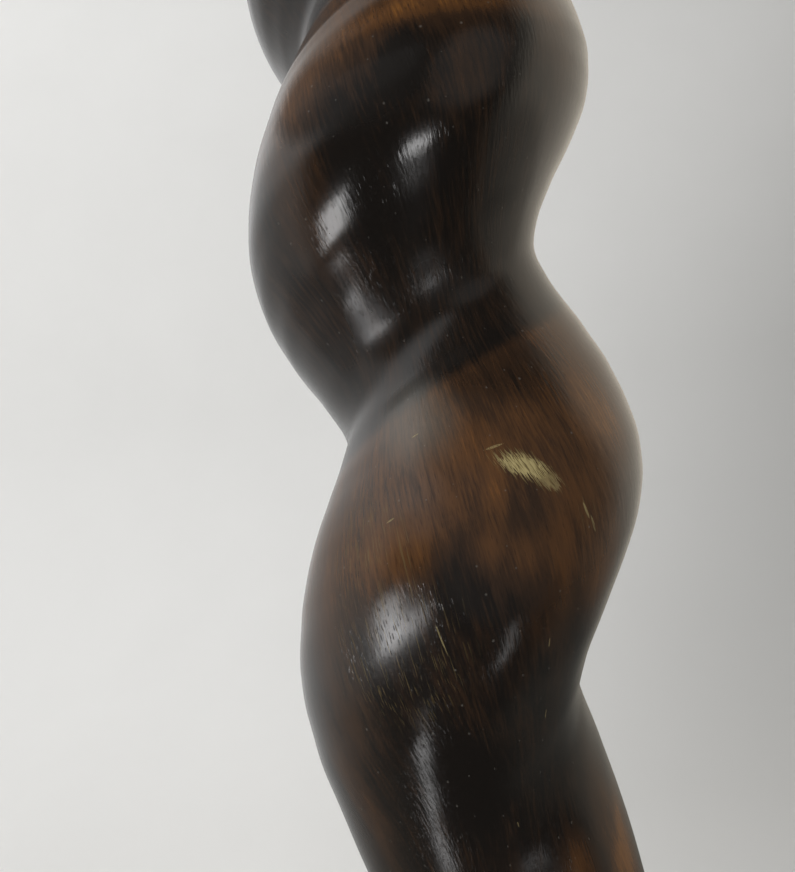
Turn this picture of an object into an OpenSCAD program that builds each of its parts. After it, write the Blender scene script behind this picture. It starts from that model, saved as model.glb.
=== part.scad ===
// Muddler: a carved barley-twist grip with a palm knob above and a screw-off crushing head below.
// It stands on its crushing face. The origin is the centre of that face and +Z runs up the axis.

/* [Muddling head] */
// Diameter of the flat crushing face
face_d = 37; // [28:1:40]
// Diameter of the head at its widest ring
head_d = 43; // [41:1:52]
// Height of the widest ring above the crushing face
belly_z = 11; // [6:1:18]
// Height of the head, from the crushing face to the shoulder under the seal
head_h = 62; // [56:1:90]
// Diameter of the waist under the top bead
waist_d = 28; // [25:1:31]
// Diameter of the top bead
head_bead_d = 34; // [32:1:40]
// Height of the top bead
head_bead_h = 7; // [5:0.5:9]

/* [Screwed joint] */
// Outside diameter of the stud's thread
stud_d = 8; // [6:0.5:9]
// Length of the stud that screws into the handle
stud_reach = 15; // [10:1:20]
// Length of the stud set in the head, below its flange
stud_root = 24; // [16:1:32]
// Diameter of the stud's flange
stud_flange_d = 17; // [13:1:19]
// Thickness of the stud's flange
stud_flange_t = 2.5; // [1.5:0.5:4]
// Width of the bevel on each end of the stud
stud_bevel = 1; // [0.5:0.25:1.5]
// Outside diameter of the threaded insert
insert_d = 12.5; // [11:0.5:15]
// Length of the threaded insert below its flange
insert_l = 18; // [16:1:22]
// Diameter of the insert's flange
insert_flange_d = 18; // [16.5:0.5:19]
// Depth of the barb grooves round the insert
barb_depth = 0.6; // [0.3:0.1:0.8]
// Number of barbs on the insert
barb_count = 5; // [3:1:7]
// Outside diameter of the seal ring
seal_d = 27; // [24:1:30]
// Thickness of the seal ring
seal_t = 2; // [1:0.25:3]

/* [Ferrule] */
// Diameter of the handle's spigot inside the ferrule
spigot_d = 26; // [24:0.5:28]
// Length of the spigot inside the ferrule
spigot_h = 22; // [18:1:30]
// Wall of the ferrule
ferrule_wall = 1.2; // [0.8:0.1:2]
// Diameter of the hole in the ferrule's end
ferrule_eye_d = 19.5; // [19.5:0.25:22]
// Thickness of the rolled rim at the ferrule's top
rim_d = 2.6; // [2:0.2:3.6]
// Shank diameter of a ferrule pin
pin_d = 2; // [1.5:0.25:2.5]
// Length of a ferrule pin under its head
pin_l = 6; // [4:0.5:7]
// Diameter of a ferrule pin's domed head
pin_head_d = 4; // [3:0.25:5]
// Height of a ferrule pin's domed head
pin_head_h = 1; // [0.6:0.1:1.4]
// Height of the pins above the ferrule's lower end
pin_z = 12; // [8:1:14]

/* [Barley twist] */
// Length of the carved twist, run-outs included
twist_len = 156; // [120:2:210]
// Mean diameter of the twist at its lower end
twist_d_low = 24.5; // [24:0.5:32]
// Mean diameter of the twist half way up
twist_d_mid = 35; // [31:0.5:40]
// Mean diameter of the twist at its upper end
twist_d_high = 37; // [30:0.5:40]
// Height of the crest over the mean radius
crest_rise = 2.9; // [1.5:0.1:4]
// Depth of the hollow under the mean radius
hollow_drop = 3.3; // [1.5:0.1:4.5]
// Depth of the crease along the hollow
crease_depth = 2.5; // [0:0.1:3]
// Turn from the middle of the hollow to its crease, in degrees
crease_turn = -2; // [-30:1:30]
// Rise of one full turn of the twist
pitch = 45.5; // [36:0.5:60]
// Length over which the twist winds up from straight to its full pitch
lead_in = 71; // [20:1:110]
// Direction of the crest at the foot of the twist, in degrees
crest_turn = 31.5; // [0:0.5:359.5]
// Length over which the hollow runs out at each end
run_out = 24; // [12:1:40]

/* [Turned necks] */
// Diameter of the lower neck, where the twist starts
low_neck_d = 24; // [22:0.5:26]
// Diameter of the bead under the twist
low_bead_d = 31; // [29:0.5:36]
// Height of the bead under the twist
low_bead_h = 8; // [6:0.5:12]
// Diameter of the upper neck, where the twist ends
high_neck_d = 30; // [24:0.5:32]
// Diameter of the bead over the twist
high_bead_d = 38; // [34:0.5:42]
// Height of the bead over the twist
high_bead_h = 8; // [6:0.5:12]
// Height of the square fillets above and below every bead
fillet_h = 1; // [0.5:0.25:1.5]

/* [Palm knob] */
// Diameter of the knob at its widest ring
knob_d = 47; // [40:1:56]
// Height of the knob
knob_h = 44; // [38:1:60]
// Height of the widest ring above the knob's foot
knob_belly_z = 22; // [16:1:26]
// Diameter of the knob's foot
knob_foot_d = 29; // [24:1:32]
// Diameter of the dowel in the knob
dowel_d = 10; // [8:0.5:12]
// Length of the dowel, half in the knob and half in the handle
dowel_l = 44; // [30:2:50]
// Width of the bevel on each end of the dowel
dowel_bevel = 1; // [0.5:0.25:2]
// Number of glue flutes round the dowel
flute_count = 12; // [6:1:16]
// Depth of a glue flute
flute_depth = 0.5; // [0.3:0.1:0.7]

/* [Fits] */
// Radial gap of a glued or pressed joint
glue_gap = 0.05; // [0.02:0.01:0.1]
// Radial gap between the stud's thread and the insert
thread_gap = 0.05; // [0.02:0.01:0.1]
// Radial gap round the stud inside the seal ring
seal_gap = 0.3; // [0.2:0.05:0.5]
// Spare depth at the bottom of a blind hole
hole_spare = 1; // [0.5:0.25:2]

/* [Hidden] */
$fn = 96;

wood_dark = [0.20, 0.11, 0.06];
wood_pale = [0.78, 0.62, 0.42];
brass_old = [0.66, 0.52, 0.26];
steel_grey = [0.66, 0.67, 0.69];
rubber_black = [0.08, 0.08, 0.08];

// Heights of the seats, from the crushing face up
seal_z = head_h;
ferrule_z = seal_z + seal_t;
spigot_z = ferrule_z + ferrule_wall;
low_bead_z = spigot_z + spigot_h;
twist_z = low_bead_z + low_bead_h;
high_bead_z = twist_z + twist_len;
knob_z = high_bead_z + high_bead_h;

ferrule_r = spigot_d / 2 + glue_gap + ferrule_wall;
stud_r = stud_d / 2;
insert_bore_r = stud_r + thread_gap;
crease_side = 180 + crease_turn;
curve_steps = 16;
flute_sides = 24;
cut_past = 1;

// Mesh of the carved twist
ring_count = 120;
side_count = 40;
twist_seat = 1.5;

// Eases from 0 to 1 over the first part of a length
function ease(t) = let (u = max(0, min(1, t))) u * u * (3 - 2 * u);

// Share of the full carving at a height on the twist
function carve(z) = ease(min(z, twist_len - z) / run_out);

// Turn of the crest at a height on the twist, which starts straight and winds up over the lead-in
function crest_angle(z) = crest_turn
    + 360 / pitch * (z < lead_in ? z * z / lead_in / 2 : z - lead_in / 2);

// Smooth curve through a low, a middle and a high value
function through(low, mid, high, t) =
    low * (1 - t) * (1 - 2 * t) + mid * 4 * t * (1 - t) + high * t * (2 * t - 1);

// Mean radius of the twist at a height, drawn in to the turned necks at both ends
function mean_r(z) = let (
        t = z / twist_len,
        neck_r = (t < 0.5 ? low_neck_d : high_neck_d) / 2,
        full_r = through(twist_d_low, twist_d_mid, twist_d_high, t) / 2
    ) neck_r + (full_r - neck_r) * carve(z);

// Radius of the twist at a turn from its crest: a broad crest and a hollow with a crease
function twist_r(z, turn) = let (
        swing = (crest_rise + hollow_drop) / 2,
        sharp = (crest_rise - hollow_drop) / 2,
        crease = crease_depth * (abs(sin((turn - crease_side) / 2)) - 1)
    ) mean_r(z) + carve(z) * (swing * cos(turn) + sharp * cos(2 * turn) + crease);

// Points of an S curve between two radii and two heights
function s_curve(r0, z0, r1, z1) = [for (i = [0:curve_steps])
    let (t = i / curve_steps) [r0 + (r1 - r0) * (1 - cos(180 * t)) / 2, z0 + (z1 - z0) * t]];

// Half outline of a bead with small square fillets above and below it
module bead_outline(d, h, z) {
    round_h = h - 2 * fillet_h;
    translate([0, z])
        square([d / 2 - round_h / 2, h]);
    translate([d / 2 - round_h / 2, z + h / 2])
        circle(d = round_h);
}

// Closed skin of the carved twist, with plain ends that sit inside the turned necks.
// Its columns wind up with the crest, so that one of them runs along the crease.
module carved_twist() {
    heights = [-twist_seat, for (i = [0:ring_count]) twist_len * i / ring_count,
        twist_len + twist_seat];
    last = len(heights) - 1;
    points = [for (z = heights, k = [0:side_count - 1])
        let (
            h = max(0, min(twist_len, z)),
            turn = crease_side + 360 * k / side_count,
            a = crest_angle(h) + turn,
            r = twist_r(h, turn)
        ) [r * cos(a), r * sin(a), z]];
    sides = [for (i = [0:last - 1], k = [0:side_count - 1])
        let (m = (k + 1) % side_count, low = i * side_count, high = low + side_count)
        each [[low + k, high + k, low + m], [high + k, high + m, low + m]]];
    foot = [for (k = [0:side_count - 1]) k];
    top = [for (k = [side_count - 1:-1:0]) last * side_count + k];
    polyhedron(points, concat(sides, [foot, top]));
}

module blind_hole(r, z, depth) {
    translate([0, 0, z])
        cylinder(r = r, h = depth);
}

module palm_knob() {
    knob_r = knob_d / 2;
    dome_h = knob_h - knob_belly_z;
    neck = s_curve(knob_foot_d / 2, 0, knob_r, knob_belly_z);
    dome = [for (i = [1:curve_steps])
        let (a = 90 * i / curve_steps) [knob_r * cos(a), knob_belly_z + dome_h * sin(a)]];
    color(wood_dark)
        translate([0, 0, knob_z])
            difference() {
                rotate_extrude()
                    polygon(concat([[0, 0]], neck, dome));
                blind_hole(dowel_d / 2 + glue_gap, -cut_past, cut_past + dowel_l / 2 + hole_spare);
            }
}

module knob_dowel() {
    color(wood_pale)
        translate([0, 0, knob_z - dowel_l / 2])
            difference() {
                rotate_extrude()
                    polygon([[0, 0], [dowel_d / 2 - dowel_bevel, 0], [dowel_d / 2, dowel_bevel],
                        [dowel_d / 2, dowel_l - dowel_bevel], [dowel_d / 2 - dowel_bevel, dowel_l],
                        [0, dowel_l]]);
                for (i = [0:flute_count - 1])
                    rotate(360 * i / flute_count)
                        translate([dowel_d / 2, 0, -cut_past])
                            cylinder(r = flute_depth, h = dowel_l + 2 * cut_past, $fn = flute_sides);
            }
}

module twist_handle() {
    color(wood_dark)
        difference() {
            union() {
                translate([0, 0, twist_z])
                    carved_twist();
                rotate_extrude()
                    union() {
                        translate([0, spigot_z])
                            square([spigot_d / 2, spigot_h + low_bead_h / 2]);
                        translate([0, low_bead_z])
                            square([ferrule_r, low_bead_h / 2]);
                        bead_outline(low_bead_d, low_bead_h, low_bead_z);
                    }
                rotate_extrude()
                    bead_outline(high_bead_d, high_bead_h, high_bead_z);
            }
            blind_hole(insert_d / 2 + glue_gap, spigot_z - cut_past, cut_past + insert_l + hole_spare);
            blind_hole(dowel_d / 2 + glue_gap, knob_z - dowel_l / 2 - hole_spare,
                dowel_l / 2 + hole_spare + cut_past);
            pin_places()
                cylinder(d = pin_d + 2 * glue_gap, h = pin_l + hole_spare);
        }
}

// Puts a child at each pin, with its +Z pointing in towards the axis from the ferrule's skin
module pin_places() {
    for (side = [0, 180])
        rotate(side)
            translate([ferrule_r, 0, ferrule_z + pin_z])
                rotate([0, -90, 0])
                    children();
}

module ferrule() {
    skin_h = ferrule_wall + spigot_h;
    color(brass_old)
        difference() {
            rotate_extrude()
                translate([0, ferrule_z])
                    difference() {
                        union() {
                            square([ferrule_r, skin_h]);
                            translate([ferrule_r, skin_h - rim_d / 2])
                                circle(d = rim_d);
                        }
                        square([ferrule_eye_d / 2, skin_h]);
                        translate([0, ferrule_wall])
                            square([spigot_d / 2 + glue_gap, skin_h]);
                    }
            pin_places()
                translate([0, 0, -cut_past])
                    cylinder(d = pin_d + 2 * glue_gap, h = pin_l);
        }
}

module ferrule_pins() {
    dome_r = (pin_head_d * pin_head_d / 4 + pin_head_h * pin_head_h) / (2 * pin_head_h);
    color(brass_old)
        pin_places() {
            cylinder(d = pin_d, h = pin_l);
            intersection() {
                translate([0, 0, dome_r - pin_head_h])
                    sphere(r = dome_r);
                translate([0, 0, -pin_head_h])
                    cylinder(d = pin_head_d, h = pin_head_h);
            }
        }
}

module threaded_insert() {
    barb_h = insert_l / (barb_count + 1);
    barbs = [for (i = [1:barb_count])
        each [[insert_d / 2, barb_h * i], [insert_d / 2 - barb_depth, barb_h * i]]];
    color(brass_old)
        translate([0, 0, spigot_z])
            difference() {
                union() {
                    rotate_extrude()
                        polygon(concat([[0, 0], [insert_d / 2, 0]], barbs,
                            [[insert_d / 2, insert_l], [0, insert_l]]));
                    translate([0, 0, -ferrule_wall])
                        cylinder(d = insert_flange_d, h = ferrule_wall);
                }
                blind_hole(insert_bore_r, -ferrule_wall - cut_past, insert_l + ferrule_wall + 2 * cut_past);
            }
}

module head_stud() {
    low_z = seal_z - stud_flange_t - stud_root;
    high_z = ferrule_z + stud_reach;
    color(steel_grey)
        union() {
            rotate_extrude()
                polygon([[0, low_z], [stud_r - stud_bevel, low_z], [stud_r, low_z + stud_bevel],
                    [stud_r, high_z - stud_bevel], [stud_r - stud_bevel, high_z], [0, high_z]]);
            translate([0, 0, seal_z - stud_flange_t])
                cylinder(d = stud_flange_d, h = stud_flange_t);
        }
}

module head_seal() {
    color(rubber_black)
        translate([0, 0, seal_z])
            rotate_extrude()
                difference() {
                    union() {
                        square([(seal_d - seal_t) / 2, seal_t]);
                        translate([(seal_d - seal_t) / 2, seal_t / 2])
                            circle(d = seal_t);
                    }
                    square([stud_r + seal_gap, seal_t]);
                }
}

module muddling_head() {
    roll = [for (i = [0:curve_steps])
        let (a = 90 * i / curve_steps)
        [face_d / 2 + (head_d - face_d) / 2 * sin(a), belly_z * (1 - cos(a))]];
    flank = s_curve(head_d / 2, belly_z, waist_d / 2, head_h - head_bead_h);
    color(wood_pale)
        difference() {
            rotate_extrude()
                union() {
                    polygon(concat([[0, 0]], roll, flank, [[0, head_h - head_bead_h]]));
                    bead_outline(head_bead_d, head_bead_h, head_h - head_bead_h);
                }
            blind_hole(stud_flange_d / 2 + glue_gap, head_h - stud_flange_t, stud_flange_t + cut_past);
            blind_hole(stud_r + glue_gap, head_h - stud_flange_t - stud_root - hole_spare,
                stud_root + stud_flange_t + hole_spare + cut_past);
        }
}

palm_knob();
knob_dowel();
twist_handle();
ferrule();
ferrule_pins();
threaded_insert();
head_stud();
head_seal();
muddling_head();
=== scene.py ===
import bpy
import math
from mathutils import Matrix, Vector, noise


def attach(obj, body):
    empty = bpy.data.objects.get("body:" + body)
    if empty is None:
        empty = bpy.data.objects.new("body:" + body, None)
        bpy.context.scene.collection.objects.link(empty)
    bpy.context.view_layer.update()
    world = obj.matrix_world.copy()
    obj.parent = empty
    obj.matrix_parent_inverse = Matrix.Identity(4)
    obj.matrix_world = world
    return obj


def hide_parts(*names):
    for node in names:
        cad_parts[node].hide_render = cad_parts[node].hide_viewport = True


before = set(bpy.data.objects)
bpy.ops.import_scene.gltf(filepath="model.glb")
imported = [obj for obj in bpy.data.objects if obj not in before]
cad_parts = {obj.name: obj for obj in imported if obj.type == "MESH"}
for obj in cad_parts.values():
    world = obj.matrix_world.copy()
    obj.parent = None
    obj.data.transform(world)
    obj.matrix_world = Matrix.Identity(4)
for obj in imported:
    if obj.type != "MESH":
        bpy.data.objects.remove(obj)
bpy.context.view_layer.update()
mm = 0.001                                                # in metres
weldGap = 0.001 * mm                                      # points closer than this become one
sharpEdge = 30                                            # degrees, above which an edge is rounded
smoothEdge = 35                                           # degrees, above which an edge is shaded sharp
holeSides = 32
print("frame loaded:", len(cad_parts), "nodes")


# Modelling helpers

def deselectAll():
    bpy.ops.object.select_all(action="DESELECT")


def useModifier(piece, kind, **settings):
    bpy.context.view_layer.objects.active = piece
    bpy.ops.object.modifier_add(type=kind)
    modifier = piece.modifiers[-1]
    for key, value in settings.items():
        setattr(modifier, key, value)
    bpy.ops.object.modifier_apply(modifier=modifier.name)


def softenEdges(piece, width):
    useModifier(piece, "BEVEL", width=width * mm, segments=2, limit_method="ANGLE",
                angle_limit=math.radians(sharpEdge), harden_normals=False)


def smoothShade(piece, angle=smoothEdge):
    deselectAll()
    piece.select_set(True)
    bpy.context.view_layer.objects.active = piece
    bpy.ops.object.shade_smooth_by_angle(angle=math.radians(angle))


def turnOnLathe(name, outline, sides, closed=False):
    deselectAll()                                         # the outline is (radius, height) points in mm
    radius, height = outline[0]
    bpy.ops.mesh.primitive_circle_add(vertices=sides, radius=radius * mm, location=(0, 0, height * mm))
    piece = bpy.context.object
    piece.name = name
    piece.data.name = name
    bpy.ops.object.transform_apply(location=True, rotation=False, scale=False)
    bpy.ops.object.mode_set(mode="EDIT")
    bpy.ops.mesh.select_mode(type="VERT")
    bpy.ops.mesh.select_all(action="SELECT")
    if not closed:
        bpy.ops.mesh.edge_face_add()
    for nextRadius, nextHeight in outline[1:]:
        rise = (nextHeight - height) * mm
        grow = nextRadius / radius
        bpy.ops.mesh.extrude_region_move(TRANSFORM_OT_translate={"value": (0, 0, rise)})
        bpy.ops.transform.resize(value=(grow, grow, 1), center_override=(0, 0, nextHeight * mm))
        radius, height = nextRadius, nextHeight
    bpy.ops.mesh.select_all(action="SELECT")
    bpy.ops.mesh.remove_doubles(threshold=weldGap)        # poles, and the seam of a closed outline
    bpy.ops.mesh.select_all(action="SELECT")
    bpy.ops.mesh.normals_make_consistent(inside=False)
    bpy.ops.object.mode_set(mode="OBJECT")
    return piece


def arcPoints(middle, radius, start, end, steps):
    turns = [math.radians(start + (end - start) / steps * i) for i in range(steps + 1)]
    return [(middle[0] + radius * math.cos(turn), middle[1] + radius * math.sin(turn)) for turn in turns]


def swellPoints(low, high, steps):                        # an S curve between two (radius, height) points
    points = []
    for i in range(steps + 1):
        t = i / steps
        swing = (1 - math.cos(math.pi * t)) / 2
        points.append((low[0] + (high[0] - low[0]) * swing, low[1] + (high[1] - low[1]) * t))
    return points


def beadPoints(given, key, steps, start=-90):             # the round of a bead between its fillets
    radius, foot, height = given[key]
    swell = height / 2 - given["fillet"]
    return arcPoints((radius - swell, foot + height / 2), swell, start, 90, steps)


def ease(t):
    t = max(0, min(1, t))
    return t * t * (3 - 2 * t)


def combine(piece, tool, operation):
    useModifier(piece, "BOOLEAN", object=tool, operation=operation)
    bpy.data.objects.remove(tool)


def drill(piece, radius, start, end, height):             # a hole along X between two places in mm
    deselectAll()
    bpy.ops.mesh.primitive_cylinder_add(vertices=holeSides, radius=radius * mm, depth=abs(end - start) * mm,
                                        location=((start + end) / 2 * mm, 0, height * mm),
                                        rotation=(0, math.radians(90), 0))
    combine(piece, bpy.context.object, "DIFFERENCE")


def place(piece, body, node, finish):
    smoothShade(piece)
    piece.data.materials.clear()
    piece.data.materials.append(finish)
    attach(piece, body)
    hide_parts(node)
    print("piece ready:", piece.name, len(piece.data.polygons), "faces")


# Shader maths

markRadius = 20                                           # mm, to lay the marks on the grip out flat
markMiddle = 173.2                                        # mm, the height that the marks are counted from


class Wire:
    def __init__(self, tree, socket=None):
        self.tree = tree
        self.socket = socket

    def node(self, kind, settings=None, values=None, out=0):
        made = self.tree.nodes.new("ShaderNode" + kind)
        for key, value in (settings or {}).items():
            setattr(made, key, value)
        for key, value in (values or {}).items():
            if isinstance(value, Wire):
                self.tree.links.new(value.socket, made.inputs[key])
            else:
                made.inputs[key].default_value = value
        return Wire(self.tree, made.outputs[out] if made.outputs else None)

    def math(self, operation, *terms):
        return self.node("Math", {"operation": operation}, dict(enumerate(terms)))

    def __add__(self, other):
        return self.math("ADD", self, other)

    def __radd__(self, other):
        return self.math("ADD", other, self)

    def __sub__(self, other):
        return self.math("SUBTRACT", self, other)

    def __rsub__(self, other):
        return self.math("SUBTRACT", other, self)

    def __mul__(self, other):
        return self.math("MULTIPLY", self, other)

    def __rmul__(self, other):
        return self.math("MULTIPLY", other, self)

    def step(self, low, high):                            # eases from 0 at low to 1 at high
        return self.node("MapRange", {"interpolation_type": "SMOOTHSTEP"},
                         {"Value": self, "From Min": low, "From Max": high})

    def stretch(self, scale):                             # a vector times a scale for each axis
        return self.node("VectorMath", {"operation": "MULTIPLY"}, {0: self, 1: scale})

    def shift(self, other):                               # a vector plus another
        return self.node("VectorMath", {"operation": "ADD"}, {0: self, 1: other})

    def axes(self):
        split = self.node("SeparateXYZ", None, {0: self}).socket.node
        return [Wire(self.tree, end) for end in split.outputs]

    def vector(self, x, y, z):
        return self.node("CombineXYZ", None, {0: x, 1: y, 2: z})

    def cloud(self, scale, detail=2, rough=0.5):          # soft noise from 0 to 1
        return self.node("TexNoise", None,
                         {"Vector": self, "Scale": scale, "Detail": detail, "Roughness": rough})

    def mixed(self, first, second):                       # first where the mask is 0, second where it is 1
        return self.node("Mix", {"data_type": "RGBA"}, {0: self, 6: first, 7: second}, out=2)

    def patch(self, turn, height, wide, high, slant):     # 0 at a place on the grip, 1 at the edge round it
        mapped = self.node("Mapping", {"vector_type": "TEXTURE"},
                           {"Vector": self, "Location": (math.radians(turn) * markRadius, height, 0),
                            "Rotation": (0, 0, math.radians(slant)), "Scale": (wide, high, 1)})
        return mapped.node("VectorMath", {"operation": "LENGTH"}, {0: mapped}, out=1)

    def most(self, other):
        return self.math("MAXIMUM", self, other)

    def bump(self, strength, distance):
        return self.node("Bump", None, {"Strength": strength, "Distance": distance * mm, "Height": self})

    def marked(self, flat, places, edge, frayed=0):       # adds marks, the strongest at each place counts
        mask = self
        for *spread, strength in places:
            mask = mask.most((flat.patch(*spread) + frayed).step(*edge) * strength)
        return mask


def newFinish(name):
    finish = bpy.data.materials.new(name)
    finish.use_nodes = True
    finish.node_tree.nodes.clear()
    return finish, Wire(finish.node_tree)


def closeFinish(wire, worn=None, **sockets):
    values = {key.replace("_", " "): value for key, value in sockets.items()}
    shader = wire.node("BsdfPrincipled", None, values)
    if worn:                                              # the varnish is gone where the mask is 1
        values.update(bareSurface)
        bare = wire.node("BsdfPrincipled", None, values)
        shader = wire.node("MixShader", None, {0: worn, 1: shader, 2: bare})
    wire.node("OutputMaterial", None, {"Surface": shader})


def millimetres(wire):                                    # the place on the piece, in mm
    return wire.node("TexCoord", None, None, out=3).stretch((1000, 1000, 1000))


def tint(red, green, blue):
    return (red, green, blue, 1)


# Camera, set where the photograph was taken from

photoCamera = dict(
    place=(-6.06, -65.33, 165.35),                        # mm
    tilt=7.45,                                            # degrees upwards
    roll=6.28,
    focalPixels=560,
    longSidePixels=872,
    sensorWidth=36,                                       # mm
    nearClip=4,                                           # mm
)


def makeCamera(given):
    lens = bpy.data.cameras.new("photoCamera")
    lens.sensor_width = given["sensorWidth"]
    lens.lens = given["focalPixels"] / given["longSidePixels"] * given["sensorWidth"]
    lens.clip_start = given["nearClip"] * mm
    camera = bpy.data.objects.new("photoCamera", lens)
    bpy.context.scene.collection.objects.link(camera)
    spot = Matrix.Translation(Vector(given["place"]) * mm)
    look = Matrix.Rotation(math.radians(90 + given["tilt"]), 4, "X")
    lean = Matrix.Rotation(math.radians(-given["roll"]), 4, "Z")
    camera.matrix_world = spot @ look @ lean
    bpy.context.scene.camera = camera


makeCamera(photoCamera)
print("camera set")


# Finishes

woodTones = dict(
    stain=tint(0.0065, 0.0050, 0.0040),
    dark=tint(0.024, 0.0125, 0.0065),
    brown=tint(0.060, 0.0265, 0.0095),
    amber=tint(0.150, 0.0620, 0.0140),
    straw=tint(0.270, 0.2250, 0.1050),
    olive=tint(0.085, 0.0600, 0.0230),
    # dust on the varnish, also used as the grey of a painted reflection
    dust=tint(0.130, 0.1250, 0.1100),
)
bareSurface = {"Roughness": 0.75, "Specular IOR Level": 0.2}
varnishIor = 1.5

woodGrain = dict(                                         # repeats of each pattern per mm, for each axis
    bend=(0.06, 0.06, 0.03),
    fibre=(3.6, 3.6, 0.30),
    wisp=(0.45, 0.45, 0.07),
    band=(0.12, 0.12, 0.03),
    cells=(4.6, 4.6, 0.9),
    ripple=(3.4, 3.4, 0.65),
    hair=(7.5, 7.5, 0.30),
    dust=(0.3, 0.3, 0),
)
woodForm = dict(
    bendReach=(3, 3, 0),                                  # mm
    blankSlant=0.25,                                      # mm per mm
    gripSlant=0.009,                                      # radians per mm
    relief=0.015,                                         # mm
    splinter=dict(across=6.0, slant=3.0, up=0.6),         # per mm, the torn fibres in the chip
)
# pale: pale bands in turned wood, and painted light on the lit flank of each grip lobe
toneShares = dict(base=0.14, wisp=0.35, band=0.3, fibre=0.9, pale=0.42)
toneSteps = dict(dark=(0.05, 0.42), brown=(0.36, 0.70), amber=(0.66, 1.05))
roughShares = dict(base=0.12, fibre=0.08, hollow=0.05, rubbed=0.09)
reliefShares = dict(turnedPores=0.4, pores=0.25, bare=0.5, rubbedPores=1.3)

# Marks on the grip: degrees from the front, mm above its middle, half sizes, slant, and the strength of each
stains = (
    (-22, -12, 5.0, 3.4, 15, 0.16), (3, -8.5, 1.4, 5.0, -14, 0.19), (21, 4, 5.0, 4.0, 0, -0.28),
    (8, 36.5, 11.0, 1.8, 6, 0.28), (66, -41, 5.5, 8.0, 0, 0.42), (38, -43, 4.0, 4.0, 0, 0.42),
    (-38, 25, 4.0, 12.0, 0, 0.20), (-46, -24, 4.0, 8.0, 10, 0.20), (-8, -14, 2.5, 4.0, 0, -0.16),
    (-5, 31, 2.0, 4.0, -14, -0.30), (25, 31, 1.0, 5.5, -14, -0.25), (11, 30, 2.2, 5.0, -14, 0.10),
    (28, -12, 6.0, 6.5, 0, 0.42), (43, -3, 4.0, 8.0, 0, 0.25), (42, 36, 5.0, 5.0, 0, 0.25),
    (13, -13, 3.5, 3.5, 0, 0.22), (2, -3.5, 3.0, 2.5, 0, 0.12), (14, -18, 3.0, 3.0, 0, 0.20),
    (-12, -32, 5.0, 6.0, 0, -0.25), (-14, 22, 6.0, 7.0, 0, -0.15), (4, -13, 3.2, 3.0, 0, 0.24),
    (5, 2, 4.0, 3.0, 0, -0.16), (34, -17, 3.0, 4.0, 0, 0.22), (-24, 31, 5.0, 3.0, 20, 0.06),
    (-55, -33, 3.2, 8.0, 0, 0.24),
)
chips = ((12.3, -5.4, 2.2, 0.95, -24, 1.0), (17.8, -6.8, 1.2, 0.8, -30, 0.45))
flecks = (
    (6, -3.5, 1.0, 0.12, 12, 0.45), (-16, -1.5, 0.5, 0.07, 20, 0.45), (-23.5, -8.7, 0.5, 0.07, 25, 0.45),
    (15, -20, 0.08, 0.5, 0, 0.45), (18, -27, 0.08, 0.5, 0, 0.45), (5, -37, 0.12, 0.35, 30, 0.45),
    (-13, -18.5, 0.07, 1.5, 14, 0.45), (26.5, -9.6, 0.14, 0.9, 20, 0.45), (28.5, -10.8, 0.12, 0.8, 20, 0.45),
)
scratched = (
    (-25, -19.0, 7.0, 7.5, 0, 0.48), (27, -10.2, 1.3, 1.9, 25, 0.80), (-30, -11, 5.0, 5.0, 0, 0.50),
)
rubbed = (
    (-25, -18.5, 6.0, 5.5, 0, 1.0), (-33, 10.6, 4.0, 4.0, 0, 0.5), (-5, 13.6, 2.4, 2.4, 0, 0.25),
)
dull = (
    (13, -6.8, 9.0, 8.0, 0, 0.9), (2, -3, 6.0, 5.0, 0, 0.8), (3, -13, 5.5, 5.0, 0, 1.0),
    (-5, 13.3, 2.6, 2.4, 0, 0.6), (-22, 30.5, 8.0, 4.5, 0, 0.85), (30, 22, 5.0, 7.0, 0, 0.3),
    (-54, 12, 4.0, 5.5, 0, 0.4),
)
# painted reflection: a grey sheen of the pale surroundings, put in the colour
paintedSheenPlaces = ((-17, 0, 5.5, 4.5, 0, 0.36),)
dirty = ((-10, 3, 7.0, 6.0, 0, 0.75),)
markEdges = dict(                                         # where a mark is gone and where it is full
    stain=(1.3, 0.3), chip=(1.1, 0.85), fleck=(1.0, 0.7), scratch=(1.2, 0.5), dull=(1.2, 0.7),
    rub=(1.3, 0.4), paintedSheen=(1.3, 0.2), dirt=(1.3, 0.6),
)
grainEdges = dict(                                        # where each begins and where it is full
    pore=(0.30, 0.14), band=(0.35, 0.65), hair=(0.58, 0.68), straw=(0.36, 0.56), hollow=(-0.45, -0.85),
)
poreStain = 0.32
scuffWear = 0.6
fraying = dict(fibre=1.2, stain=0.4, scratch=0.5, dull=0.3, chip=3.6)
dustSpeck = dict(size=0.055, strength=0.4)                # size as a share of the gap between specks


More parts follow.
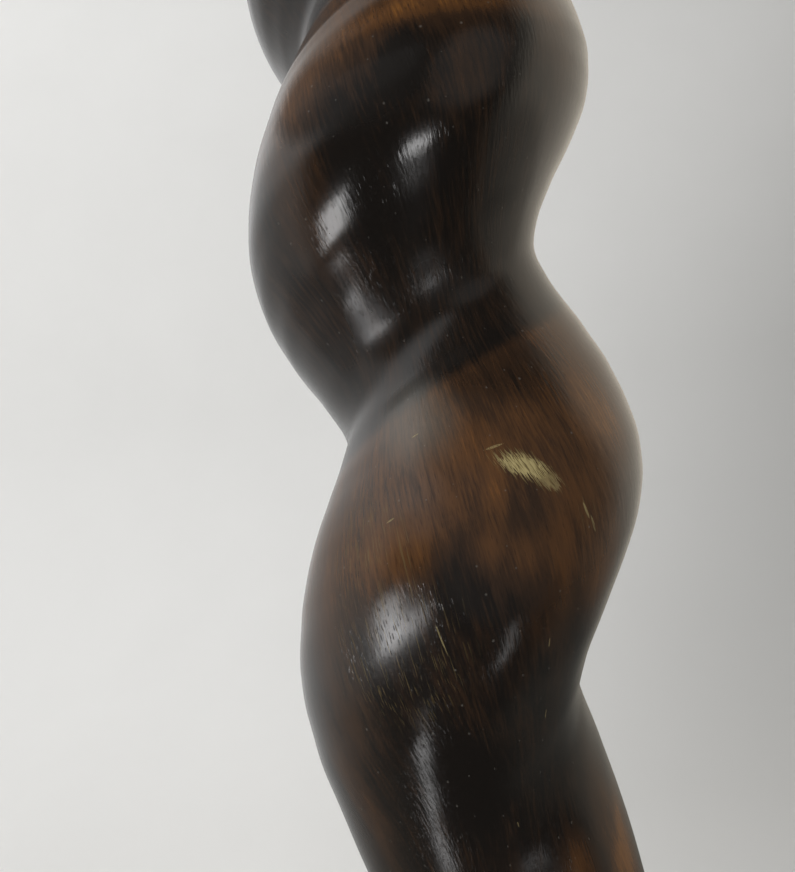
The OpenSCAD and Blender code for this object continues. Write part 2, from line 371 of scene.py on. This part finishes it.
def stainedWood(name, carved):
    finish, wire = newFinish(name)
    spot = millimetres(wire)
    x, y, z = spot.axes()
    bend = spot.node("TexNoise", None, {"Vector": spot.stretch(woodGrain["bend"]), "Scale": 1}, out=1)
    grain = wire.vector(x + z * woodForm["blankSlant"], y, z)
    if carved:
        turn = wire.math("ARCTAN2", x, 0 - y)
        slant = turn + (z - markMiddle) * woodForm["gripSlant"]
        grain = wire.vector(wire.math("SINE", slant) * markRadius, wire.math("COSINE", slant) * markRadius, z)
    grain = grain.shift(bend.stretch(woodForm["bendReach"]))
    fibre = grain.stretch(woodGrain["fibre"]).cloud(1, detail=4, rough=0.7)
    wisp = grain.stretch(woodGrain["wisp"]).cloud(1, detail=3, rough=0.55)
    band = spot.stretch(woodGrain["band"]).cloud(1, detail=2)
    cells = grain.node("TexVoronoi", None, {"Vector": grain.stretch(woodGrain["cells"]), "Scale": 1})
    pores = cells.step(*grainEdges["pore"])
    ripple = grain.stretch(woodGrain["ripple"]).cloud(1, detail=2, rough=0.6)
    rough = roughShares["base"] + fibre * roughShares["fibre"]
    tone = (wisp - 0.5) * toneShares["wisp"] + (band - 0.5) * toneShares["band"]
    tone = tone + (fibre - 0.5) * toneShares["fibre"] + toneShares["base"]
    if not carved:
        tone = tone + band.step(*grainEdges["band"]) * toneShares["pale"]
        relief = (ripple - pores * reliefShares["turnedPores"]).bump(1, woodForm["relief"])
        closeFinish(wire, Base_Color=woodColour(tone, pores), Roughness=rough, Normal=relief, IOR=varnishIor)
        return finish
    # x is painted light on the lit flank of each lobe, y the wave from crest to hollow, z the seam
    pale, ridge, seam = wire.node("Attribute", {"attribute_name": "twistFlank"}, None, out=1).axes()
    flat = wire.vector(turn * markRadius, z - markMiddle, 0)   # the grip's skin, laid out
    ragged = (fibre - 0.5) * fraying["fibre"]
    # painted light: the lit flank of each lobe turns from dark stain to brown
    tone = tone + pale * toneShares["pale"]
    for *spread, strength in stains:
        tone = tone + (flat.patch(*spread) + ragged * fraying["stain"]).step(*markEdges["stain"]) * strength
    across, up = flat.axes()[:2]
    torn = woodForm["splinter"]
    splinter = wire.vector(across * torn["across"] + up * torn["slant"], up * torn["up"], 0)
    splinter = splinter.cloud(1, detail=3, rough=0.65)
    clear = splinter * 0
    bare = clear.marked(flat, chips, markEdges["chip"], (splinter - 0.5) * fraying["chip"])
    bare = bare.marked(flat, flecks, markEdges["fleck"], ragged)
    hair = grain.stretch(woodGrain["hair"]).cloud(1, detail=2).step(*grainEdges["hair"])
    scuff = clear.marked(flat, scratched, markEdges["scratch"], ragged * fraying["scratch"]) * hair
    specks = dustSpecks(wire, flat)
    seam = seam * clear.marked(flat, dirty, markEdges["dirt"])
    worn = bare.most(scuff * scuffWear).most(seam).most(specks)
    worn = worn.marked(flat, dull, markEdges["dull"], ragged * fraying["dull"])
    speckle = clear.marked(flat, rubbed, markEdges["rub"])
    rough = rough + ridge.step(*grainEdges["hollow"]) * roughShares["hollow"]
    rough = rough + speckle * roughShares["rubbed"]
    # painted reflection: a grey sheen mixed into the colour with the dust tone
    paintedSheen = clear.marked(flat, paintedSheenPlaces, markEdges["paintedSheen"])
    colour = paintedSheen.mixed(woodColour(tone, pores), woodTones["dust"])
    colour = scuff.mixed(colour, woodTones["olive"])
    colour = specks.mixed(colour, woodTones["dust"])
    straw = splinter.step(*grainEdges["straw"]).mixed(woodTones["olive"], woodTones["straw"])
    colour = bare.mixed(colour, straw)
    relief = ripple - pores * reliefShares["pores"] - bare * reliefShares["bare"]
    relief = (relief - pores * speckle * reliefShares["rubbedPores"]).bump(1, woodForm["relief"])
    closeFinish(wire, worn=worn, Base_Color=colour, Roughness=rough, Normal=relief, IOR=varnishIor)
    return finish


def dustSpecks(wire, flat):                               # dust left on the varnish, of many sizes
    values = {"Vector": flat.stretch(woodGrain["dust"]), "Scale": 1}
    dots = flat.node("TexVoronoi", {"voronoi_dimensions": "2D"}, values)
    chance = Wire(wire.tree, dots.socket.node.outputs["Color"]).axes()[0]
    return dots.step(chance * dustSpeck["size"], 0.0) * dustSpeck["strength"]


def woodColour(tone, pores):
    colour = woodTones["stain"]
    for name, edge in toneSteps.items():
        colour = tone.step(*edge).mixed(colour, woodTones[name])
    return (pores * poreStain).mixed(colour, woodTones["stain"])


mapleLook = dict(
    fibre=(1.4, 1.4, 0.07),                               # per mm, as for the stained wood
    band=(0.14, 0.14, 0.01),
    streak=(0.25, 0.8),
    dark=tint(0.32, 0.185, 0.085),
    pale=tint(0.56, 0.385, 0.215),
)


def oiledMaple(name, given):
    finish, wire = newFinish(name)
    spot = millimetres(wire)
    fibre = spot.stretch(given["fibre"]).cloud(1, detail=4, rough=0.6)
    band = spot.stretch(given["band"]).cloud(1, detail=2)
    colour = (band * 0.6 + fibre * 0.5).step(*given["streak"]).mixed(given["dark"], given["pale"])
    closeFinish(wire, Base_Color=colour, Roughness=0.45 + fibre * 0.15, Normal=fibre.bump(0.25, 0.1))
    return finish


brassLook = dict(
    lines=(0.15, 0.15, 6),
    tarnish=(0.35, 0.7),
    bright=tint(0.52, 0.36, 0.14),
    dark=tint(0.30, 0.185, 0.065),
)


def agedBrass(name, given):
    finish, wire = newFinish(name)
    spot = millimetres(wire)
    cloud = spot.cloud(0.25, detail=4, rough=0.6)
    colour = cloud.step(*given["tarnish"]).mixed(given["bright"], given["dark"])
    lines = spot.stretch(given["lines"]).cloud(1, detail=2)
    closeFinish(wire, Base_Color=colour, Metallic=1.0, Roughness=0.22 + cloud * 0.25,
                Normal=lines.bump(0.12, 0.05))
    return finish


steelLook = dict(lines=(0.2, 0.2, 7), dark=tint(0.5, 0.5, 0.51), bright=tint(0.62, 0.62, 0.63))


def turnedSteel(name, given):
    finish, wire = newFinish(name)
    lines = millimetres(wire).stretch(given["lines"]).cloud(1, detail=2)
    colour = lines.mixed(given["dark"], given["bright"])
    closeFinish(wire, Base_Color=colour, Metallic=1.0, Roughness=0.25 + lines * 0.15,
                Normal=lines.bump(0.1, 0.05))
    return finish


rubberLook = dict(black=tint(0.012, 0.012, 0.012), dusty=tint(0.03, 0.03, 0.03))


def sealRubber(name, given):
    finish, wire = newFinish(name)
    dust = millimetres(wire).cloud(1.2, detail=4, rough=0.6)
    colour = dust.mixed(given["black"], given["dusty"])
    closeFinish(wire, Base_Color=colour, Roughness=0.6 + dust * 0.2, Normal=dust.bump(0.2, 0.1))
    return finish


carvedFinish = stainedWood("carvedWood", True)
turnedFinish = stainedWood("turnedWood", False)
mapleFinish = oiledMaple("oiledMaple", mapleLook)
brassFinish = agedBrass("agedBrass", brassLook)
steelFinish = turnedSteel("turnedSteel", steelLook)
rubberFinish = sealRubber("sealRubber", rubberLook)
print("finishes made")


# Barley-twist grip

grip = dict(
    sides=128,
    ringGap=0.8,
    spigotRadius=13,
    spigotFoot=65.2,
    insertBore=(6.3, 19),                                 # radius and depth
    shoulder=(14.25, 87.2),                               # radius and height
    lowBead=(15.5, 87.2, 8),                              # radius, foot and height
    highBead=(19, 251.2, 8),
    beadSteps=(14, 16),
    fillet=1,
    dowelBore=(5.05, 23),
    boreMargin=2,                                         # mm round the bore that stay as turned
    twistFoot=95.2,
    twistLength=156,
    neckRadii=(12, 15),
    meanRadii=(12.25, 17.5, 18.5),                        # at the foot, half way up and at the top
    crestRise=2.9,
    hollowDrop=3.3,
    creaseDepth=2.5,
    creaseSide=178,                                       # degrees from the crest
    creaseRound=0.10,                                     # how far its bottom is rounded
    pitch=45.5,
    leadIn=71,                                            # length over which the twist winds up
    crestTurn=30.0,                                       # degrees
    carveLean=0.24,                                       # flanks not quite alike, as a carver leaves them
    runOut=24,
    paintedLightFlank=(-136, -122, -45, 25),                      # painted light: the lighter flank of each lobe, facing the light; degrees from the crest where it begins and ends
    dullSeam=(-152, -143, -139, -131),                    # the same for the dirty line above it
    handWobble=0.1,
    wobbleLength=7,
    pinHole=(1.05, 7.25, 76),                             # radius, inner end and height
    drillPast=1,
)


def crestAngle(given, height):
    lead = given["leadIn"]
    wound = height * height / lead / 2 if height < lead else height - lead / 2
    return math.radians(given["crestTurn"] + 360 * wound / given["pitch"])


def carveShare(given, height):
    return ease(min(height, given["twistLength"] - height) / given["runOut"])


def meanRadius(given, height):
    t = height / given["twistLength"]
    neck = given["neckRadii"][0 if t < 0.5 else 1]
    low, middle, high = given["meanRadii"]
    full = low * (1 - t) * (1 - 2 * t) + middle * 4 * t * (1 - t) + high * t * (2 * t - 1)
    return neck + (full - neck) * carveShare(given, height)


def flankShare(limits, turn):                             # 1 on a stretch of the flank, 0 outside it
    turn = (turn + 180) % 360 - 180
    begin, full, fade, end = limits
    return ease((turn - begin) / (full - begin)) * (1 - ease((turn - fade) / (end - fade)))


def carveTwist(piece, given):
    swing = (given["crestRise"] + given["hollowDrop"]) / 2
    uneven = (given["crestRise"] - given["hollowDrop"]) / 2
    length = given["twistLength"]
    start, end = crestAngle(given, 0), crestAngle(given, length)
    crease = math.radians(given["creaseSide"])
    column = (crease + start) % (2 * math.pi / given["sides"])   # puts a column of the mesh on the crease
    flank = piece.data.attributes.new("twistFlank", "FLOAT_VECTOR", "POINT")
    for vertex in piece.data.vertices:
        height = vertex.co.z / mm - given["twistFoot"]
        radius = math.hypot(vertex.co.x, vertex.co.y) / mm
        angle = math.atan2(vertex.co.y, vertex.co.x) + column
        inside = radius < given["dowelBore"][0] + given["boreMargin"]
        if height < 0:
            continue
        if height > length or inside:                     # turned parts above the twist follow its last ring
            angle += end - start
        else:
            share = carveShare(given, height)
            phase = angle - start
            angle += crestAngle(given, height) - start
            wave = swing * math.cos(phase) + uneven * math.cos(2 * phase)
            wave += given["carveLean"] * math.sin(2 * phase)
            rise = math.hypot(math.sin((phase - crease) / 2), given["creaseRound"])
            wave += given["creaseDepth"] * (rise - 1)
            wobble = given["handWobble"] * noise.noise(vertex.co / mm / given["wobbleLength"])
            radius = meanRadius(given, height) + share * (wave + wobble)
            # painted light: the share of the lighter flank that faces the light
            pale = flankShare(given["paintedLightFlank"], math.degrees(phase))
            seam = flankShare(given["dullSeam"], math.degrees(phase))
            flank.data[vertex.index].vector = (pale * share, math.cos(phase) * share, seam * share)
        vertex.co.x = radius * mm * math.cos(angle)
        vertex.co.y = radius * mm * math.sin(angle)


def buildGrip(given):
    boreRadius, boreDepth = given["insertBore"]
    dowelRadius, dowelDepth = given["dowelBore"]
    shoulderRadius, shoulderHeight = given["shoulder"]
    lowRadius, lowHeight = given["lowBead"][::2]
    highRadius, highFoot, highHeight = given["highBead"]
    lowRound = lowHeight / 2 - given["fillet"]
    meet = -math.degrees(math.acos((shoulderRadius - lowRadius + lowRound) / lowRound))
    lowCore = lowRadius - lowRound
    highCore = highRadius - (highHeight / 2 - given["fillet"])
    foot, length = given["twistFoot"], given["twistLength"]
    top = highFoot + highHeight
    outline = [(boreRadius, given["spigotFoot"] + boreDepth), (boreRadius, given["spigotFoot"]),
               (given["spigotRadius"], given["spigotFoot"]), (given["spigotRadius"], shoulderHeight),
               (shoulderRadius, shoulderHeight)]
    outline += beadPoints(given, "lowBead", given["beadSteps"][0], meet)
    outline += [(lowCore, foot), (given["neckRadii"][0], foot)]
    rings = round(length / given["ringGap"])
    heights = [length * i / rings for i in range(1, rings + 1)]
    outline += [(meanRadius(given, height), foot + height) for height in heights]
    outline += [(highCore, highFoot)]
    outline += beadPoints(given, "highBead", given["beadSteps"][1])
    outline += [(highCore, top), (dowelRadius, top), (dowelRadius, top - dowelDepth)]
    piece = turnOnLathe("twistGrip", outline, given["sides"])
    holeRadius, holeEnd, holeHeight = given["pinHole"]
    mouth = given["spigotRadius"] + given["drillPast"]
    for side in (1, -1):
        drill(piece, holeRadius, side * holeEnd, side * mouth, holeHeight)
    carveTwist(piece, given)
    place(piece, "handle", "twist_handle", carvedFinish)


buildGrip(grip)


# Palm knob

knob = dict(
    sides=128,
    dowelBore=(5.05, 23),                                 # radius and depth
    foot=(14.5, 259.2),                                   # radius and height
    belly=(23.49, 281.2),
    top=303.19,
    steps=40,
    edgeBevel=0.2,
)


def buildKnob(given):
    boreRadius, boreDepth = given["dowelBore"]
    foot = given["foot"][1]
    radius, belly = given["belly"]
    steps = given["steps"]
    outline = [(boreRadius, foot + boreDepth), (boreRadius, foot)]
    outline += swellPoints(given["foot"], given["belly"], steps)
    for i in range(1, steps):
        turn = math.pi / 2 * i / steps
        outline.append((radius * math.cos(turn), belly + (given["top"] - belly) * math.sin(turn)))
    outline.append((0, given["top"]))
    piece = turnOnLathe("palmKnob", outline, given["sides"])
    softenEdges(piece, given["edgeBevel"])
    place(piece, "handle", "palm_knob", turnedFinish)


buildKnob(knob)


# Crushing head

head = dict(
    sides=128,
    studBore=(4.05, 34.5),                                # radius and bottom
    flangeSeat=(8.55, 59.5),
    bead=(17, 55, 7),                                     # radius, foot and height
    beadSteps=16,
    fillet=1,
    waist=14,
    belly=(21.5, 11),
    faceRadius=18.5,
    steps=40,
    edgeBevel=0.25,
)


def buildHead(given):
    boreRadius, bottom = given["studBore"]
    seatRadius, seat = given["flangeSeat"]
    radius, foot, height = given["bead"]
    core = radius - (height / 2 - given["fillet"])
    bellyRadius, belly = given["belly"]
    steps = given["steps"]
    top = foot + height
    outline = [(boreRadius, bottom), (boreRadius, seat), (seatRadius, seat), (seatRadius, top), (core, top)]
    outline += beadPoints(given, "bead", given["beadSteps"])[::-1]
    outline += [(core, foot)]
    outline += swellPoints((given["waist"], foot), given["belly"], steps)
    for i in range(1, steps + 1):
        turn = math.pi / 2 * i / steps
        outline.append((given["faceRadius"] + (bellyRadius - given["faceRadius"]) * math.cos(turn),
                        belly * (1 - math.sin(turn))))
    outline.append((0, 0))
    piece = turnOnLathe("crushHead", outline, given["sides"])
    softenEdges(piece, given["edgeBevel"])
    place(piece, "head", "muddling_head", mapleFinish)


buildHead(head)


# Ferrule and its pins

ferrule = dict(
    sides=128,
    eye=9.75,
    skin=14.25,
    inside=13.05,
    foot=64,
    floor=65.2,
    top=87.2,
    rim=1.3,
    rimSteps=16,
    pinHole=(1.05, 76),                                   # radius and height
    drillPast=1,
    edgeBevel=0.2,
)


def buildFerrule(given):
    skin, rim = given["skin"], given["rim"]
    outline = [(given["eye"], given["foot"]), (skin, given["foot"])]
    outline += arcPoints((skin, given["top"] - rim), rim, -90, 90, given["rimSteps"])
    outline += [(given["inside"], given["top"]), (given["inside"], given["floor"]),
                (given["eye"], given["floor"])]
    piece = turnOnLathe("brassFerrule", outline + outline[:1], given["sides"], closed=True)
    softenEdges(piece, given["edgeBevel"])
    holeRadius, holeHeight = given["pinHole"]
    reach = skin + given["drillPast"]
    drill(piece, holeRadius, -reach, reach, holeHeight)
    place(piece, "handle", "ferrule", brassFinish)


pins = dict(
    sides=32,
    seat=14.25,
    height=76,
    shank=(1, 6),                                         # radius and length
    point=0.3,
    dome=2.5,
    domeSteps=12,
    head=1,
)


def buildPins(given):
    shankRadius, shankLength = given["shank"]
    dome, head, point = given["dome"], given["head"], given["point"]
    outline = [(shankRadius - point, -shankLength), (shankRadius, point - shankLength), (shankRadius, 0)]
    edge = math.degrees(math.asin((dome - head) / dome))
    outline += arcPoints((0, head - dome), dome, edge, 90, given["domeSteps"])[:-1]
    outline += [(0, head)]
    made = []
    for side in (0, math.pi):
        pin = turnOnLathe("ferrulePins", outline, given["sides"])
        pin.rotation_euler = (0, math.pi / 2, side)
        pin.location = Vector((given["seat"] * math.cos(side), 0, given["height"])) * mm
        bpy.ops.object.transform_apply(location=True, rotation=True, scale=True)
        made.append(pin)
    deselectAll()
    for pin in made:
        pin.select_set(True)
    bpy.context.view_layer.objects.active = made[0]
    bpy.ops.object.join()
    place(made[0], "handle", "ferrule_pins", brassFinish)


buildFerrule(ferrule)
buildPins(pins)


# Seal ring

seal = dict(sides=96, bore=4.3, edge=12.5, edgeSteps=12, foot=62, thickness=2)


def buildSeal(given):
    half = given["thickness"] / 2
    outline = [(given["bore"], given["foot"])]
    outline += arcPoints((given["edge"], given["foot"] + half), half, -90, 90, given["edgeSteps"])
    outline += [(given["bore"], given["foot"] + given["thickness"])]
    piece = turnOnLathe("sealRing", outline + outline[:1], given["sides"], closed=True)
    place(piece, "seal", "head_seal", rubberFinish)


buildSeal(seal)


# Threaded stud

stud = dict(
    sides=48,
    crest=3.98,
    root=3.24,
    pitch=1.25,
    tooth=((0, 0), (0, 0.3), (1, 0.7), (1, 0.85), (0, 1.25)),   # share of the depth, and height
    spareTurns=2,                                         # wound past each end, then trimmed
    trimGap=0.5,
    foot=35.5,
    top=79,
    bevel=1,
    blank=4,
    flange=(8.5, 59.5, 2.5),                              # radius, foot and thickness
    flangeBevel=0.3,
)


def buildStud(given):
    deselectAll()
    depth = given["crest"] - given["root"]
    start = given["foot"] - given["spareTurns"] * given["pitch"]
    points = [Vector((given["root"] + depth * share, 0, start + rise)) * mm for share, rise in given["tooth"]]
    bpy.ops.mesh.primitive_plane_add(size=1 * mm, location=points[0])
    piece = bpy.context.object
    piece.name = "threadedStud"
    piece.data.name = "threadedStud"
    bpy.ops.object.transform_apply(location=True, rotation=False, scale=False)
    bpy.ops.object.mode_set(mode="EDIT")
    bpy.ops.mesh.select_all(action="SELECT")
    bpy.ops.mesh.merge(type="CENTER")                     # the first point of the tooth
    for last, point in zip(points, points[1:]):
        bpy.ops.mesh.extrude_region_move(TRANSFORM_OT_translate={"value": point - last})
    bpy.ops.object.mode_set(mode="OBJECT")
    turns = math.ceil((given["top"] - given["foot"]) / given["pitch"]) + 2 * given["spareTurns"]
    useModifier(piece, "SCREW", axis="Z", screw_offset=given["pitch"] * mm, iterations=turns,
                steps=given["sides"], render_steps=given["sides"], use_merge_vertices=True,
                merge_threshold=weldGap)
    bpy.ops.object.mode_set(mode="EDIT")
    bpy.ops.mesh.select_all(action="SELECT")
    bpy.ops.mesh.remove_doubles(threshold=weldGap)
    for height, way in ((given["foot"] - given["trimGap"], -1), (given["top"] + given["trimGap"], 1)):
        bpy.ops.mesh.select_all(action="SELECT")
        bpy.ops.mesh.bisect(plane_co=(0, 0, height * mm), plane_no=(0, 0, way), use_fill=True,
                            clear_outer=True)
    bpy.ops.mesh.select_all(action="SELECT")
    bpy.ops.mesh.normals_make_consistent(inside=False)
    bpy.ops.object.mode_set(mode="OBJECT")
    blank, bevel = given["blank"], given["bevel"]
    outline = [(blank - bevel, given["foot"]), (blank, given["foot"] + bevel),
               (blank, given["top"] - bevel), (blank - bevel, given["top"])]
    combine(piece, turnOnLathe("studBlank", outline, given["sides"]), "INTERSECT")
    radius, foot, thickness = given["flange"]
    edge = given["flangeBevel"]
    outline = [(radius - edge, foot), (radius, foot + edge), (radius, foot + thickness - edge),
               (radius - edge, foot + thickness)]
    combine(piece, turnOnLathe("studFlange", outline, 2 * given["sides"]), "UNION")
    place(piece, "head", "head_stud", steelFinish)


buildStud(stud)


# Finishes on the parts that keep their own solids

def dress(node, finish):
    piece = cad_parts[node]
    piece.data.materials.clear()
    piece.data.materials.append(finish)


dress("knob_dowel", mapleFinish)
dress("threaded_insert", brassFinish)
print("inner parts dressed")


# Floor, light and surroundings

stageSizes = dict(                                        # metres
    halfWidth=2.0,
    front=-2.0,
    back=0.55,
    height=1.8,
    curve=0.3,
    curveSteps=24,
    smoothEdge=60,                                        # degrees
)
floorTones = dict(
    pale=tint(0.78, 0.78, 0.77),
    paler=tint(0.82, 0.82, 0.81),
    shaded=tint(0.46, 0.46, 0.45),
)
floorShade = dict(narrowing=0.001, least=0.2, climb=0.35, edge=(-80, 240))   # for places in mm


def buildFloor(given):
    deselectAll()
    depth = given["back"] - given["front"]
    bpy.ops.mesh.primitive_plane_add(size=1, location=(0, (given["back"] + given["front"]) / 2, 0))
    floor = bpy.context.object
    floor.name = "floor"
    floor.scale = (2 * given["halfWidth"], depth, 1)
    bpy.ops.object.transform_apply(location=True, rotation=False, scale=True)
    bpy.ops.object.mode_set(mode="EDIT")
    bpy.ops.mesh.select_mode(type="EDGE")
    bpy.ops.mesh.select_all(action="DESELECT")
    bpy.ops.object.mode_set(mode="OBJECT")
    for edge in floor.data.edges:
        edge.select = all(floor.data.vertices[i].co.y > given["back"] - mm for i in edge.vertices)
    bpy.ops.object.mode_set(mode="EDIT")
    bpy.ops.mesh.extrude_region_move(TRANSFORM_OT_translate={"value": (0, 0, given["height"])})
    bpy.ops.object.mode_set(mode="OBJECT")
    useModifier(floor, "BEVEL", width=given["curve"], segments=given["curveSteps"], limit_method="ANGLE")
    smoothShade(floor, given["smoothEdge"])
    floor.visible_glossy = False
    finish, wire = newFinish("paleFloor")
    spot = millimetres(wire)
    pale = spot.cloud(0.01, detail=3).mixed(floorTones["pale"], floorTones["paler"])
    x, y, z = spot.axes()
    aside = x * (1 - y * floorShade["narrowing"]).most(floorShade["least"])
    shade = (aside - z * floorShade["climb"]).step(*floorShade["edge"])   # a little darker to the right
    closeFinish(wire, Base_Color=shade.mixed(pale, floorTones["shaded"]), Roughness=0.8)
    floor.data.materials.append(finish)
    unlit = bpy.data.collections.new("unlitFloor")        # the small lights leave the floor alone
    unlit.objects.link(floor)
    unlit.collection_objects[0].light_linking.link_state = "EXCLUDE"
    return unlit


def areaLight(name, spot, aim, size, power, unlit=None):
    lamp = bpy.data.lights.new(name, "AREA")
    lamp.shape = "RECTANGLE"
    lamp.size, lamp.size_y = size
    lamp.energy = power
    light = bpy.data.objects.new(name, lamp)
    bpy.context.scene.collection.objects.link(light)
    light.location = spot
    light.rotation_mode = "QUATERNION"
    light.rotation_quaternion = (Vector(aim) - Vector(spot)).to_track_quat("-Z", "Y")
    light.visible_camera = False
    light.visible_glossy = unlit is not None              # fill light leaves no highlight
    light.light_linking.receiver_collection = unlit


gripAim = (0, 0, 0.18)
partAim = (0, 0, 0.15)
smallLights = (                                           # name, place, aim, size in metres, power in watts
    ("leftWindow", (-0.251, -0.274, 0.029), gripAim, (0.14, 0.042), 0.195),
    ("rightWindow", (0.109, -0.363, 0.047), gripAim, (0.10, 0.032), 0.115),
    ("frontCard", (-0.043, -0.042, 0.143), (-0.008, -0.018, 0.155), (0.013, 0.019), 0.0058),
    ("lowCard", (-0.032, -0.046, 0.049), (-0.007, -0.014, 0.141), (0.008, 0.026), 0.0026),
    ("rightCard", (0.042, -0.068, 0.079), (0.001, -0.018, 0.154), (0.009, 0.026), 0.0012),
)
fillLights = (
    ("skyFill", (-0.7, -0.6, 1.3), partAim, (1.4, 1.4), 14),
    ("frontFill", (-0.2, -1.3, 0.6), partAim, (1.2, 0.8), 6),
)


def lightStudio(unlit):
    for given in smallLights:
        areaLight(*given, unlit)
    for given in fillLights:
        areaLight(*given)


roomTones = dict(
    front=tint(0.035, 0.035, 0.035),
    rightWall=tint(0.78, 0.71, 0.60),
    leftWall=tint(0.70, 0.70, 0.69),
    low=tint(0.11, 0.11, 0.10),
    ceiling=tint(0.52, 0.48, 0.45),
    window=tint(0.9, 0.9, 0.9),
    windowEdge=tint(1.2, 1.2, 1.2),
    glow=tint(0.30, 0.29, 0.28),
    backdrop=tint(0.72, 0.72, 0.71),
)
roomEdges = dict(                                         # where a tone begins and where it is full
    left=(0.2, -0.2), behind=(-0.2, 0.25), low=(0.1, -0.6), ceiling=(0.75, 0.95), glow=(0.88, 0.97),
    windowFoot=(0.15, 0.60), windowTop=(0.67, 0.58), windowSide=(0.15, -0.15), windowEdge=(-0.3, -0.6),
)
roomShares = dict(wallCurve=0.45, leftBehind=0.1, leftLow=0.3, windowSlope=0.3, window=0.9)
glowAim = (0.578, -0.768, 0.276)                          # in front, to the right


def makeWorld(tones):
    world = bpy.data.worlds.new("studio")
    bpy.context.scene.world = world
    world.use_nodes = True
    world.node_tree.nodes.clear()
    wire = Wire(world.node_tree)
    x, y, z = wire.node("TexCoord", None, None, out=0).axes()
    left = x.step(*roomEdges["left"])
    behind = y + x * x * roomShares["wallCurve"] + left * roomShares["leftBehind"]   # and to both sides
    walls = left.mixed(tones["rightWall"], tones["leftWall"])
    walls = (z + left * roomShares["leftLow"]).step(*roomEdges["low"]).mixed(walls, tones["low"])
    walls = z.step(*roomEdges["ceiling"]).mixed(walls, tones["ceiling"])
    room = behind.step(*roomEdges["behind"]).mixed(tones["front"], walls)
    window = z.step(*roomEdges["windowFoot"])             # high on the left
    window = window * (z + x * roomShares["windowSlope"]).step(*roomEdges["windowTop"])
    window = window * x.step(*roomEdges["windowSide"]) * roomShares["window"]
    room = window.mixed(room, x.step(*roomEdges["windowEdge"]).mixed(tones["window"], tones["windowEdge"]))
    ahead = x * glowAim[0] + y * glowAim[1] + z * glowAim[2]
    room = ahead.step(*roomEdges["glow"]).mixed(room, tones["glow"])
    camera = wire.node("LightPath", None, None, out=0)
    light = wire.node("Background", None, {"Color": camera.mixed(room, tones["backdrop"])})
    wire.node("OutputWorld", None, {"Surface": light})


lightStudio(buildFloor(stageSizes))
makeWorld(roomTones)
bpy.context.scene.view_settings.view_transform = "Standard"
print("studio lit")
